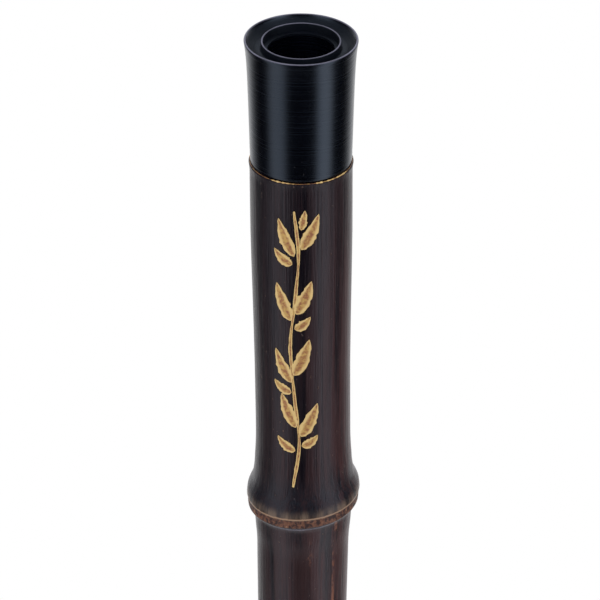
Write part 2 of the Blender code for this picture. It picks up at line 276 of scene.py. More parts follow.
# Unevenness of the grown skin, how many lumps lie to a metre round it and
# along it, and the length in which it dies out towards each cut end.
UNEVEN = 0.10 * MM
LUMPS_ROUND = 90
LUMPS_ALONG = 28
END_REACH = 10.0 * MM


def select_only(obj):
    """Selects one piece and makes it the active one."""
    bpy.ops.object.select_all(action="DESELECT")
    obj.select_set(True)
    bpy.context.view_layer.objects.active = obj


def tidy_mesh(obj):
    """Merges doubles, turns the faces outward and smooths the round ones."""
    select_only(obj)
    bpy.ops.object.mode_set(mode="EDIT")
    bpy.ops.mesh.select_all(action="SELECT")
    bpy.ops.mesh.remove_doubles(threshold=WELD)
    bpy.ops.mesh.normals_make_consistent(inside=False)
    bpy.ops.object.mode_set(mode="OBJECT")
    bpy.ops.object.shade_smooth_by_angle(angle=SMOOTH_ANGLE)


def turned(name, outline, steps=TURN_STEPS):
    """Spins an outline of (radius, height) points about the bore, as a lathe does."""
    bpy.ops.object.select_all(action="DESELECT")
    bpy.ops.mesh.primitive_plane_add(size=MM)
    obj = bpy.context.object
    obj.name = name
    obj.data.name = name
    bpy.ops.object.mode_set(mode="EDIT")
    bpy.ops.mesh.merge(type="CENTER")
    radius, height = outline[0]
    bpy.ops.transform.translate(value=(radius, 0.0, height))
    closing = [outline[0]] if outline[0][0] > 0 else []
    for next_radius, next_height in outline[1:] + closing:
        step = (next_radius - radius, 0.0, next_height - height)
        bpy.ops.mesh.extrude_vertices_move(TRANSFORM_OT_translate={"value": step})
        radius, height = next_radius, next_height
    bpy.ops.mesh.select_all(action="SELECT")
    bpy.ops.mesh.spin(steps=steps, angle=math.tau, center=(0, 0, 0), axis=(0, 0, 1))
    bpy.ops.object.mode_set(mode="OBJECT")
    tidy_mesh(obj)
    return obj


def skin_points(name):
    """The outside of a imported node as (height, radius) points, from the foot up."""
    around = {}
    for vertex in nodes[name].data.vertices:
        if vertex.co.xy.length > SKIN_R:
            ring = around.setdefault(round(vertex.co.z, 5), {})
            ring[round(math.atan2(vertex.co.y, vertex.co.x), 2)] = vertex.co.xy.length
    rings = sorted((z, ring) for z, ring in around.items() if len(ring) >= FULL_RING)
    return [(z, sum(ring.values()) / len(ring)) for z, ring in rings]


def along(points, at):
    """Value at a height on a smooth curve through (height, value) points."""
    last = len(points) - 2
    i = max(0, min(last, sum(1 for height, value in points[1:-1] if height <= at)))
    before, start, end, after = (points[max(0, min(last + 1, i + k))] for k in (-1, 0, 1, 2))
    width = end[0] - start[0]
    share = max(0.0, min(1.0, (at - start[0]) / width))
    rise = end[1] - start[1]
    slopes = []
    for low, high in ((before, end), (start, after)):
        slope = (high[1] - low[1]) / max(high[0] - low[0], WELD) * width
        slopes.append(slope if slope * rise > 0 else 0.0)
    slopes = [math.copysign(min(abs(slope), 3 * abs(rise)), rise) for slope in slopes]
    square, cube = share**2, share**3
    eased = (3 * square - 2 * cube) * rise
    return start[1] + eased + (cube - 2 * square + share) * slopes[0] + (cube - square) * slopes[1]


def smooth_skin(points, top, bottom):
    """Outline down the skin with a point about every millimetre."""
    count = round((top - bottom) / OUTLINE_STEP)
    heights = [top + (bottom - top) * i / count for i in range(count + 1)]
    heights += [height for height, radius in points if bottom < height < top]
    return [(along(points, z), z) for z in sorted(set(heights), reverse=True)]


def sway_at(height):
    """How far the grown cane stands to the side of the bore at a height."""
    return along([(HEAD_RIM - down * MM, aside * MM) for down, aside in SWAY], height)


def weather_cane(obj, top, bottom):
    """Moves the skin as grown cane has it: bowed, slightly oval, rings aslant."""
    for vertex in obj.data.vertices:
        out = vertex.co.xy.length
        if out < SKIN_R:
            continue
        height = vertex.co.z
        end_share = min(1.0, (top - height) / END_REACH, (height - bottom) / END_REACH)
        end_share = max(0.0, end_share)
        ring_away, tilt = min(
            (abs(place - height), tilt) for place, tilt in zip(NODE_PLACES, NODE_TILTS)
        )
        share = max(0.0, 1.0 - ring_away / TILT_REACH)
        lump = noise.noise((vertex.co.x * LUMPS_ROUND, vertex.co.y * LUMPS_ROUND, height * LUMPS_ALONG))
        grown = 1.0 + end_share * UNEVEN * lump / out
        vertex.co.x = vertex.co.x * grown + sway_at(height) * end_share
        vertex.co.y *= grown
        vertex.co.z += tilt * vertex.co.x * share * share * (3 - 2 * share)


head_low, head_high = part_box("head_tube")
foot_low, foot_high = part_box("foot_tube")
cap_low, cap_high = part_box("head_cap")
socket_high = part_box("joint_socket")[1]
tenon_low, tenon_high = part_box("joint_tenon")
head_ring_low, head_ring_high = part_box("socket_ring")
foot_ring_low, foot_ring_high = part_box("tenon_ring")

# The seats that are bored and turned for the caps, the joint and the ferrules.
SEAT_GAP = 0.3 * MM
SPIGOT_R = 9.15 * MM
SPIGOT_SEAT = 13.0 * MM
RING_SEAT_R = 11.25 * MM
SOCKET_R = socket_high.x
TENON_R = tenon_high.x

head_skin = skin_points("head_tube")
foot_skin = skin_points("foot_tube")
ring_shoulder = head_ring_high.z + SEAT_GAP
skin = smooth_skin(head_skin, head_high.z, ring_shoulder)
outline = [(skin[0][0] - EDGE_CHAMFER, head_high.z), (skin[0][0], head_high.z - EDGE_CHAMFER)]
outline += skin[1:]
outline += [
    (RING_SEAT_R, ring_shoulder),
    (RING_SEAT_R, head_low.z),
    (SOCKET_R + SEAT_GAP, head_low.z),
    (SOCKET_R + SEAT_GAP, socket_high.z + SEAT_GAP),
    (BORE_R, socket_high.z + SEAT_GAP),
    (BORE_R, cap_low.z - SEAT_GAP),
    (SPIGOT_R + SEAT_GAP, cap_low.z - SEAT_GAP),
    (SPIGOT_R + SEAT_GAP, head_high.z),
]
head_cane = turned("head_cane", outline)
weather_cane(head_cane, head_high.z, ring_shoulder)

foot_shoulder = foot_ring_low.z - SEAT_GAP
outline = [(RING_SEAT_R, foot_high.z), (RING_SEAT_R, foot_shoulder)]
skin = smooth_skin(foot_skin, foot_shoulder, foot_low.z)
outline += skin[:-1]
outline += [
    (skin[-1][0], foot_low.z + EDGE_CHAMFER),
    (skin[-1][0] - EDGE_CHAMFER, foot_low.z),
    (SPIGOT_R + SEAT_GAP, foot_low.z),
    (SPIGOT_R + SEAT_GAP, foot_low.z + SPIGOT_SEAT),
    (BORE_R, foot_low.z + SPIGOT_SEAT),
    (BORE_R, tenon_low.z - SEAT_GAP),
    (TENON_R + SEAT_GAP, tenon_low.z - SEAT_GAP),
    (TENON_R + SEAT_GAP, foot_high.z),
]
foot_cane = turned("foot_cane", outline)
weather_cane(foot_cane, foot_shoulder, foot_low.z)

# The holes, in millimetres: down from the head rim, and radius. The blow hole
# is drawn out along the bore and undercut.
BLOW_HOLE = (164.0, 5.0)
BLOW_STRETCH = 1.15
BLOW_UNDERCUT = 0.4 * MM
MEMBRANE_HOLE = (247.0, 4.2)
FINGER_HOLES = ((332, 4.4), (357, 4.5), (384, 4.5), (413, 4.4), (439, 4.6), (469, 4.6))
FRONT_VENTS = (518.0, 543.0)
BACK_VENTS = (529.0, 554.0)
VENT_RADIUS = 4.0

# A hole's rounded mouth, in millimetres out from its wall and up from the
# skin, and how far the plug that cuts it goes on into the bore.
HOLE_MOUTH = ((1.3, 1.4), (0.42, 0.06), (0.22, -0.07), (0.08, -0.26), (0.0, -0.55))
PLUG_PAST = 2.2 * MM
PLUG_STEPS = 48


def plug_at(name, down, radius, points, side=-1, stretch=1.0, undercut=0.0):
    """A plug whose rounded mouth follows the cane, to cut a hole with."""
    height = HEAD_RIM - down * MM
    radius = radius * MM
    skin = along(points, height)
    wall = skin - BORE_R
    outline = [(0.0, HOLE_MOUTH[0][1] * MM)]
    outline += [(radius + out * MM, up * MM) for out, up in HOLE_MOUTH]
    outline += [
        (radius + undercut, -wall),
        (radius + undercut, -wall - PLUG_PAST),
        (0.0, -wall - PLUG_PAST),
    ]
    plug = turned(name, outline, PLUG_STEPS)
    for vertex in plug.data.vertices:
        x, along_bore, level = vertex.co
        surface = math.sqrt(max(skin**2 - x**2, 0.0))
        vertex.co = (x, side * (surface + level), height + along_bore * stretch)
    tidy_mesh(plug)
    return plug


def cut(obj, plugs):
    """Cuts plugs out of a piece and removes them."""
    for plug in plugs:
        select_only(obj)
        hole = obj.modifiers.new("hole", "BOOLEAN")
        hole.operation = "DIFFERENCE"
        hole.solver = "EXACT"
        hole.object = plug
        bpy.ops.object.modifier_apply(modifier=hole.name)
        bpy.data.objects.remove(plug)
    tidy_mesh(obj)


plugs = [
    plug_at("blow_plug", *BLOW_HOLE, head_skin, stretch=BLOW_STRETCH, undercut=BLOW_UNDERCUT),
    plug_at("film_plug", *MEMBRANE_HOLE, head_skin),
]
cut(head_cane, plugs)
plugs = [plug_at("finger_plug", down, radius, foot_skin) for down, radius in FINGER_HOLES]
plugs += [plug_at("vent_plug", down, VENT_RADIUS, foot_skin) for down in FRONT_VENTS]
plugs += [plug_at("vent_plug", down, VENT_RADIUS, foot_skin, side=1) for down in BACK_VENTS]
cut(foot_cane, plugs)

# The cane's fibres and the specks of its open pores. Each row is how many lie
# to a metre across the cane and along it, and their detail.
FIBRES = {
    "Fine": (2600.0, 46.0, 3.0),
    "Coarse": (620.0, 14.0, 4.0),
    "Streak": (230.0, 7.0, 5.0),
}
PORES = (1500.0, 700.0, 1.0)
PORE_EDGE = (0.73, 0.79)

# The natural rings as masks, in millimetres down from each ring's middle: where
# a mask starts, is full, falls off again and ends.
RING_EDGES = {
    "Flare": (-13.0, -6.0, -2.2, -1.3),
    "Stain": (-4.0, -1.4, -1.2, -1.0),
    "Bead": (-1.35, -1.15, -0.85, -0.60),
    "Band": (-0.80, -0.60, 1.55, 1.85),
    "Shade": (1.55, 1.90, 2.50, 2.75),
    # A pale line painted just below each ring's dark shade, as a painted highlight.
    "Painted_Highlight": (2.50, 2.75, 3.05, 3.60),
}
RING_RAGGED = (700.0, 300.0, 3.0)
RING_WAVER = 0.5


def new_group(name, inputs, outputs):
    """An empty node group with its values in and out, by name."""
    tree = bpy.data.node_groups.new(name, "ShaderNodeTree")
    for in_out, labels in (("INPUT", inputs), ("OUTPUT", outputs)):
        for label in labels:
            tree.interface.new_socket(label, in_out=in_out, socket_type="NodeSocketFloat")
    return tree


def use(tree, group, inputs=None):
    """Places a node group in a material and gives its outputs."""
    return node(tree, "ShaderNodeGroup", inputs, node_tree=group).outputs


def stretched_noise(tree, place, across, lengthwise, detail=4.0):
    """Noise drawn out along the bore, for fibres and long streaks."""
    inputs = {"Vector": place, "Scale": (across, across, lengthwise)}
    drawn = node(tree, "ShaderNodeMapping", inputs).outputs[0]
    inputs = {"Vector": drawn, "Scale": 1.0, "Detail": detail, "Roughness": 0.6}
    return node(tree, "ShaderNodeTexNoise", inputs).outputs[0]


def between(tree, value, start, full, falling, end):
    """A mask that eases in from start to full, and out from falling to end."""
    rise = span(tree, value, start, full)
    fall = span(tree, value, falling, end, 1.0, 0.0)
    return maths(tree, "MULTIPLY", rise, fall)


tree = new_group("cane_fibres", (), (*FIBRES, "Specks"))
place = object_place(tree)
masks = {label: stretched_noise(tree, place, *sizes) for label, sizes in FIBRES.items()}
masks["Specks"] = span(tree, stretched_noise(tree, place, *PORES), *PORE_EDGE)
node(tree, "NodeGroupOutput", masks)
cane_fibres = tree

tree = new_group("node_rings", (), RING_EDGES)
place = object_place(tree)
ragged = stretched_noise(tree, place, *RING_RAGGED)
waver = maths(tree, "MULTIPLY", maths(tree, "SUBTRACT", ragged, 0.5), RING_WAVER)
masks = {}
for ring_height, tilt in zip(NODE_PLACES, NODE_TILTS):
    inputs = {0: place, 1: (-tilt, 0.0, 1.0)}
    height = node(tree, "ShaderNodeVectorMath", inputs, operation="DOT_PRODUCT").outputs["Value"]
    down = maths(tree, "MULTIPLY", maths(tree, "SUBTRACT", ring_height, height), 1.0 / MM)
    down = maths(tree, "ADD", down, waver)
    for label, edges in RING_EDGES.items():
        mask = between(tree, down, *edges)
        masks[label] = maths(tree, "MAXIMUM", masks[label], mask) if label in masks else mask
node(tree, "NodeGroupOutput", masks)
node_rings = tree

# The cane's colours, from the dark stained skin to the pale wood of the rings, with painted shade and a
# painted highlight below each ring.
SKIN_DARK = (0.0032, 0.0018, 0.0042, 1.0)
SKIN_RED = (0.050, 0.018, 0.018, 1.0)
SKIN_TAN = (0.150, 0.085, 0.055, 1.0)
BEAD_COLOUR = (0.36, 0.22, 0.13, 1.0)
BAND_COLOUR = (0.16, 0.065, 0.035, 1.0)
BAND_DARK = (0.030, 0.013, 0.010, 1.0)
FLARE_COLOUR = (0.0095, 0.0110, 0.0165, 1.0)
STAIN_COLOUR = (0.17, 0.12, 0.085, 1.0)
# Painted highlight: the pale violet line below each ring.
RING_HIGHLIGHT_COLOUR = (0.16, 0.15, 0.20, 1.0)
HEART_COLOUR = (0.022, 0.0065, 0.0060, 1.0)
FLECK_COLOUR = (0.22, 0.085, 0.045, 1.0)
SHADE_COLOUR = (0.006, 0.004, 0.005, 1.0)
CUT_COLOUR = (0.11, 0.055, 0.028, 1.0)
BORE_COLOUR = (0.060, 0.022, 0.014, 1.0)
SKIN_TINT = (0.90, 0.84, 0.98, 1.0)

# How warm the stain is: all over, on the right side, below the first ring, and
# fading towards the cap and the left. The right side's warmth is partly the
# cane's brown stripes and partly a painted sheen, and the fade towards the cap is
# painted shade under the cap. Bearings are in radians from the holes.
WARM_BASE = 0.22
# The right side's warmth: partly the cane's brown stripes, partly a painted sheen.
WARM_SIDE_AND_SHEEN = (0.55, 0.95, 1.5, 2.2)
WARM_SIDE_AND_SHEEN_SHARE = 0.45
WARM_LOW = (-4.0 * MM, 1.0 * MM)
WARM_LOW_SHARE = 0.16
# Painted shade under the head cap: how far down it reaches, and the share of warmth left at the cap.
CAP_SHADE_REACH = 50.0 * MM
CAP_PAINTED_SHADE = 0.35
LEFT_FADE = (-0.9, 0.4, 0.45, 1.0)

# Which fibres take the red and the tan, and how strongly.
RED_FIBRES = (0.36, 0.62)
RED_GAIN = 1.9
RED_THREADS = (0.50, 0.72)
THREAD_SHARE = 0.22
TAN_STREAKS = (0.60, 0.76)
TAN_SHARE = 0.55
SPECK_SHARE = 0.5

# A broken light line and a dark red stripe run down from the first ring.
STRIPE_END = (-60.0 * MM, -28.0 * MM)
DASHES = (300.0, 150.0)
DASH_EDGE = (0.46, 0.56)
DASH_LINE = (0.71, 0.74, 0.78, 0.81)
DASH_SHARE = 0.8
HEART_START = (-12.0 * MM, -5.0 * MM)
HEART_LINE = (-0.24, -0.10, 0.14, 0.30)
HEART_SHARE = 0.7
HEART_FLECKS = (0.56, 0.66, 0.0, 0.6)

# How the ring's parts show: each span runs by the fibre or the mottle.
FLARE_FIBRES = (0.30, 0.62, 0.9, 0.35)
STAIN_FIBRES = (0.36, 0.66, 0.15, 0.8)
MOTTLE = (1100.0, 800.0)
BAND_MOTTLE = (0.40, 0.58)
BEAD_MOTTLE = (0.60, 0.72)
BAND_SHARE = 0.95
BEAD_SHARE = 0.85
# How strongly the painted highlight below each ring shows.
RING_HIGHLIGHT_SHARE = 0.75

# Radii between which the skin ends and the cut wood begins.
CUT_EDGE = (9.9 * MM, 10.5 * MM)

SKIN_ROUGH = 0.14
COARSE_ROUGH = 0.34
FINE_ROUGH = 0.10
BAND_ROUGH = 0.30
CUT_ROUGH = 0.30
COARSE_HEIGHT = 1.6
SPECK_DEPTH = 0.8
SKIN_RELIEF = (0.00012, 0.8)


def scaled(tree, value, factor, base=0.0, clamp=False):
    """A value times a factor, added to a base."""
    return maths(tree, "ADD", maths(tree, "MULTIPLY", value, factor), base, clamp)


def out_from_bore(tree, place):
    """How far a point lies from the line of the bore."""
    inputs = {0: place, 1: (1.0, 1.0, 0.0)}
    flat = node(tree, "ShaderNodeVectorMath", inputs, operation="MULTIPLY").outputs[0]
    return node(tree, "ShaderNodeVectorMath", {0: flat}, operation="LENGTH").outputs["Value"]


def surface(tree, inputs):
    """Ends a material in its one shader."""
    shader = node(tree, "ShaderNodeBsdfPrincipled", inputs)
    node(tree, "ShaderNodeOutputMaterial", {0: shader.outputs[0]})


bamboo, tree = new_material("polished_cane")
place = object_place(tree)
apart = node(tree, "ShaderNodeSeparateXYZ", {0: place}).outputs
fibre = use(tree, cane_fibres)
ring = use(tree, node_rings)
inside = span(tree, out_from_bore(tree, place), *CUT_EDGE, 1.0, 0.0)
bearing = maths(tree, "ARCTAN2", apart["X"], maths(tree, "MULTIPLY", apart["Y"], -1.0))
first_ring = NODE_PLACES[0]

low = span(tree, apart["Z"], first_ring + WARM_LOW[0], first_ring + WARM_LOW[1], 1.0, 0.0)
warm = maths(tree, "MULTIPLY", low, WARM_LOW_SHARE)
# Warmer on the right side, partly the cane's brown stripes and partly a painted sheen.
warm = scaled(tree, between(tree, bearing, *WARM_SIDE_AND_SHEEN), WARM_SIDE_AND_SHEEN_SHARE, warm)
warm = maths(tree, "ADD", warm, WARM_BASE)
# Painted shade: the skin is darker and less warm just below the head cap.
painted_cap_shade = span(tree, apart["Z"], head_high.z - CAP_SHADE_REACH, head_high.z, 1.0, CAP_PAINTED_SHADE)
warm = maths(tree, "MULTIPLY", warm, painted_cap_shade)
warm = maths(tree, "MULTIPLY", warm, span(tree, bearing, *LEFT_FADE))
reddish = maths(tree, "MULTIPLY", span(tree, fibre["Coarse"], *RED_FIBRES), warm)
reddish = maths(tree, "MULTIPLY", reddish, RED_GAIN, clamp=True)
threads = span(tree, fibre["Fine"], *RED_THREADS)
reddish = scaled(tree, threads, THREAD_SHARE, reddish, clamp=True)
tan_line = maths(tree, "MULTIPLY", span(tree, fibre["Streak"], *TAN_STREAKS), warm, clamp=True)

dashes = stretched_noise(tree, place, *DASHES)
stripe_end = span(tree, apart["Z"], first_ring + STRIPE_END[0], first_ring + STRIPE_END[1])
near_ring = maths(tree, "MULTIPLY", low, stripe_end)
dash_places = maths(tree, "MULTIPLY", near_ring, span(tree, dashes, *DASH_EDGE))
dashed = maths(tree, "MULTIPLY", between(tree, bearing, *DASH_LINE), dash_places)
heart_start = span(tree, apart["Z"], first_ring + HEART_START[0], first_ring + HEART_START[1], 1.0, 0.0)
heart_places = maths(tree, "MULTIPLY", near_ring, heart_start)
heart = maths(tree, "MULTIPLY", between(tree, bearing, *HEART_LINE), heart_places)

mottle = stretched_noise(tree, place, *MOTTLE)
band_tone = mixed(tree, span(tree, mottle, *BAND_MOTTLE), BAND_DARK, BAND_COLOUR)
band_tone = mixed(tree, span(tree, mottle, *BEAD_MOTTLE), band_tone, BEAD_COLOUR)
cut_tone = mixed(tree, fibre["Fine"], CUT_COLOUR, BORE_COLOUR)
colour = mixed(tree, reddish, SKIN_DARK, SKIN_RED)
for mask, share, tone in (
    (tan_line, TAN_SHARE, SKIN_TAN),
    (heart, HEART_SHARE, HEART_COLOUR),
    (heart, span(tree, dashes, *HEART_FLECKS), FLECK_COLOUR),
    (dashed, DASH_SHARE, FLECK_COLOUR),
    (fibre["Specks"], SPECK_SHARE, SKIN_TAN),
    (ring["Flare"], span(tree, fibre["Fine"], *FLARE_FIBRES), FLARE_COLOUR),
    (ring["Stain"], span(tree, fibre["Coarse"], *STAIN_FIBRES), STAIN_COLOUR),
    (ring["Band"], BAND_SHARE, band_tone),
    (ring["Bead"], BEAD_SHARE, BEAD_COLOUR),
    (ring["Shade"], 1.0, SHADE_COLOUR),
    # The painted highlight below each ring.
    (ring["Painted_Highlight"], RING_HIGHLIGHT_SHARE, RING_HIGHLIGHT_COLOUR),
    (inside, 1.0, cut_tone),
):
    colour = mixed(tree, maths(tree, "MULTIPLY", mask, share), colour, tone)

rough = scaled(tree, fibre["Coarse"], COARSE_ROUGH, SKIN_ROUGH)
rough = scaled(tree, fibre["Fine"], FINE_ROUGH, rough)
rough = scaled(tree, ring["Band"], BAND_ROUGH, rough)
rough = scaled(tree, inside, CUT_ROUGH, rough, clamp=True)
height = scaled(tree, fibre["Coarse"], COARSE_HEIGHT, fibre["Fine"])
height = maths(tree, "SUBTRACT", height, maths(tree, "MULTIPLY", fibre["Specks"], SPECK_DEPTH))
surface(
    tree,
    {
        "Base Color": colour,
        "Roughness": rough,
        "IOR": 1.5,
        "Coat Weight": 0.08,
        "Coat Roughness": 0.12,
        "Specular Tint": SKIN_TINT,
        "Normal": relief(tree, height, *SKIN_RELIEF),
    },
)

dress(head_cane, bamboo)
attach(head_cane, "head_section")
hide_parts("head_tube")
dress(foot_cane, bamboo)
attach(foot_cane, "foot_section")
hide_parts("foot_tube")

# The horn caps, one plugged into each end of the pole. Each is turned from
# black horn on a lathe: a flared lip, a dished groove and a thin bore ring.
CAP_STEPS = 160
LIP_ROUND = 0.32 * MM
RIM_FLARE = 0.62 * MM
FLARE_REACH = 4.0 * MM
SPIGOT_CHAMFER = 0.4 * MM

# The ring round the bore, and the dished groove between it and the lip.
DISH_DEPTH = 2.6 * MM
DISH_SAG = 0.3 * MM
DISH_STOPS = (0.0, 0.2, 0.4, 0.6, 0.8, 0.93)
BORE_LEDGE = 1.0 * MM
CREST_OUT = 1.225 * MM
CREST_DOWN = 0.675 * MM
CREST_ROUND = 0.225 * MM
GROOVE_DOWN = 2.2 * MM
GROOVE_ROUND = 0.4 * MM
GROOVE_FLAT = 1.1 * MM
LIP_CLEAR = 0.25 * MM
INNER_ROUND = 0.12 * MM

# Each cap's neck inside the skin, its taper, and the flat of its lip.
HEAD_CAP_CUT = (0.35 * MM, 0.66 * MM, 0.15 * MM)
FOOT_CAP_CUT = (0.10 * MM, 1.05 * MM, 2.2 * MM)


def bend_points(centre, size, start, end, steps=5):
    """Points round a small arc; angles in degrees, 0 outward and 90 up."""
    angles = [math.radians(start + (end - start) * i / steps) for i in range(steps + 1)]
    return [(centre[0] + size * math.cos(a), centre[1] + size * math.sin(a)) for a in angles]


def cap_points(neck, taper, length, lip):
    """A cap's outline with its rim at height 0 and its spigot below."""

    def outside(down):
        return neck + taper * (1 - down / length) + RIM_FLARE * math.exp(-down / FLARE_REACH)

    rim = outside(LIP_ROUND)
    points = bend_points((rim - LIP_ROUND, -LIP_ROUND), LIP_ROUND, 90, 0)
    points += [(outside(i * MM), -i * MM) for i in range(1, round(length / MM))]
    points += bend_points((outside(length) - LIP_ROUND, -length + LIP_ROUND), LIP_ROUND, 0, -90)
    end = length + SPIGOT_SEAT
    points += [
        (SPIGOT_R, -length),
        (SPIGOT_R, -end + SPIGOT_CHAMFER),
        (SPIGOT_R - SPIGOT_CHAMFER, -end),
        (BORE_R, -end),
        (BORE_R, -DISH_DEPTH),
        (BORE_R + BORE_LEDGE, -DISH_DEPTH),
    ]
    crest = BORE_R + CREST_OUT
    points += bend_points((crest, -CREST_DOWN), CREST_ROUND, 180, 0, 6)
    groove = crest + CREST_ROUND
    inner_lip = rim - LIP_ROUND - lip
    foot = min(groove + GROOVE_FLAT, inner_lip - LIP_CLEAR)
    points += bend_points((groove + GROOVE_ROUND, -GROOVE_DOWN), GROOVE_ROUND, 180, 270, 4)
    for share in DISH_STOPS:
        dish = -DISH_DEPTH * (1 - share) - DISH_SAG * math.sin(math.pi * share)
        points.append((foot + (inner_lip - foot) * share, dish))
    points += bend_points((inner_lip + INNER_ROUND, -INNER_ROUND), INNER_ROUND, 170, 90, 3)
    return points


inset, taper, lip = HEAD_CAP_CUT
head_length = cap_high.z - head_high.z - SEAT_GAP
points = cap_points(head_skin[-1][1] - inset, taper, head_length, lip)
horn_cap = turned("head_cap_horn", [(r, HEAD_RIM + h) for r, h in points], CAP_STEPS)
inset, taper, lip = FOOT_CAP_CUT
foot_length = foot_low.z - SEAT_GAP
points = cap_points(foot_skin[0][1] - inset, taper, foot_length, lip)
horn_foot = turned("foot_cap_horn", [(r, -h) for r, h in reversed(points)], CAP_STEPS)

# The fine lines that a lathe's tool leaves round a turned piece.
tree = new_group("turning_lines", ("Per Metre", "Detail"), ("Lines",))
given = node(tree, "NodeGroupInput").outputs
height = node(tree, "ShaderNodeSeparateXYZ", {0: object_place(tree)}).outputs["Z"]
strokes = maths(tree, "MULTIPLY", height, given["Per Metre"])
inputs = {"W": strokes, "Scale": 1.0, "Detail": given["Detail"]}
lines = node(tree, "ShaderNodeTexNoise", inputs, noise_dimensions="1D").outputs[0]
node(tree, "NodeGroupOutput", {"Lines": lines})
turning_lines = tree

HORN_BLACK = (0.0004, 0.0005, 0.0018, 1.0)
HORN_GREY = (0.0024, 0.0034, 0.0072, 1.0)
# Pale colour painted on the lip and the bore ring's crest as a highlight.
HORN_HIGHLIGHT_COLOUR = (0.105, 0.100, 0.140, 1.0)
HORN_DUST = (0.10, 0.10, 0.11, 1.0)
HORN_TINT = (0.84, 1.05, 1.4, 1.0)
TURNING_PITCH = 0.42 * MM
COARSE_LINES = 0.22
CLOUD = (160.0, 5.0)
DUST = (2400.0, 1.0)
DUST_EDGE = (0.74, 0.80, 0.0, 0.25)
GREY_LINES = (0.35, 0.75)
GREY_CLOUD = (0.3, 0.8)

# Where a pale highlight is painted on the lip and on the crest of the bore ring,
# by depth below the rim and distance off the crest, and where the dish is left dull.
LIP_HIGHLIGHT = (0.05 * MM, 0.24 * MM)
CREST_HIGHLIGHT = (0.12 * MM, 0.24 * MM)
CREST_HIGHLIGHT_DEPTH = (0.50 * MM, 0.72 * MM)
HIGHLIGHT_CLOUD = (0.30, 0.60, 0.55, 1.0)
DISH_R = (11.9 * MM, 12.5 * MM)
DISH_FLOOR = (3.2 * MM, 3.0 * MM)
HORN_ROUGH = 0.12
LINES_ROUGH = 0.20
CLOUD_ROUGH = 0.06
DISH_ROUGH = 0.35
COARSE_LINES_HEIGHT = 1.5
HORN_RELIEF = (0.00004, 0.45)

horn, tree = new_material("turned_horn")
place = object_place(tree)
apart = node(tree, "ShaderNodeSeparateXYZ", {0: place}).outputs
sizes = {"Per Metre": 1.0 / TURNING_PITCH, "Detail": 3.0}
lines = use(tree, turning_lines, sizes)["Lines"]
sizes = {"Per Metre": COARSE_LINES / TURNING_PITCH, "Detail": 1.0}
coarse_lines = use(tree, turning_lines, sizes)["Lines"]
cloud = even_noise(tree, place, *CLOUD)
dust = even_noise(tree, place, *DUST)
grain = maths(tree, "MULTIPLY", span(tree, lines, *GREY_LINES), span(tree, cloud, *GREY_CLOUD))
colour = mixed(tree, grain, HORN_BLACK, HORN_GREY)
colour = mixed(tree, span(tree, dust, *DUST_EDGE), colour, HORN_DUST)
radius = out_from_bore(tree, place)
depth = maths(tree, "MINIMUM", apart["Z"], maths(tree, "SUBTRACT", HEAD_RIM, apart["Z"]))
# Painted highlight: a pale line on the lip and on the crest of the bore ring, broken up by the cloud.
lip_highlight = span(tree, depth, *LIP_HIGHLIGHT, 1.0, 0.0)
off_crest = maths(tree, "ABSOLUTE", maths(tree, "SUBTRACT", radius, BORE_R + CREST_OUT))
off_crest = span(tree, off_crest, *CREST_HIGHLIGHT, 1.0, 0.0)
crest_highlight = maths(tree, "MULTIPLY", off_crest, span(tree, depth, *CREST_HIGHLIGHT_DEPTH, 1.0, 0.0))
edge = maths(tree, "MAXIMUM", lip_highlight, crest_highlight)
edge = maths(tree, "MULTIPLY", edge, span(tree, cloud, *HIGHLIGHT_CLOUD))
# Lays the painted highlight held in edge over the horn.
colour = mixed(tree, edge, colour, HORN_HIGHLIGHT_COLOUR)
within = span(tree, radius, *DISH_R, 1.0, 0.0)
hollow = maths(tree, "MULTIPLY", within, span(tree, depth, *DISH_FLOOR))
rough = scaled(tree, lines, LINES_ROUGH, HORN_ROUGH)
rough = scaled(tree, cloud, CLOUD_ROUGH, rough)
rough = scaled(tree, hollow, DISH_ROUGH, rough)
height = scaled(tree, coarse_lines, COARSE_LINES_HEIGHT, lines)
surface(
    tree,
    {
        "Base Color": colour,
        "Roughness": rough,
        "IOR": 1.54,
        "Specular Tint": HORN_TINT,
        "Normal": relief(tree, height, *HORN_RELIEF),
    },
)

for piece, body, cad in (
    (horn_cap, "head_section", "head_cap"),
    (horn_foot, "foot_section", "foot_cap"),
):
    dress(piece, horn)
    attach(piece, body)
    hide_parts(cad)

# The glue line where the head cap meets the cane. A beaded ring of gold size
# was squeezed out there when the cap was seated, and left uneven.
GLUE_RADIUS = 0.13 * MM
GLUE_STEPS = 288
GLUE_INSET = 0.75
GLUE_DOWN = 0.02 * MM
GLUE_THIN = 0.30
GLUE_LEAST = 0.35
GLUE_SWELL = 1.1
GLUE_RIM = 0.55
BEAD_WEIGHT = 0.6

# Bearings in degrees between which the line is full. Its lumps and smaller
# beads: how closely they lie, and the level at which the noise is read.
GLUE_SPOTS = ((17.0, 60.0), (-34.0, -8.0), (110.0, 150.0), (-120.0, -95.0))
GLUE_LUMPS = (14, 3.1)
GLUE_BEADS = (40, 7.7)

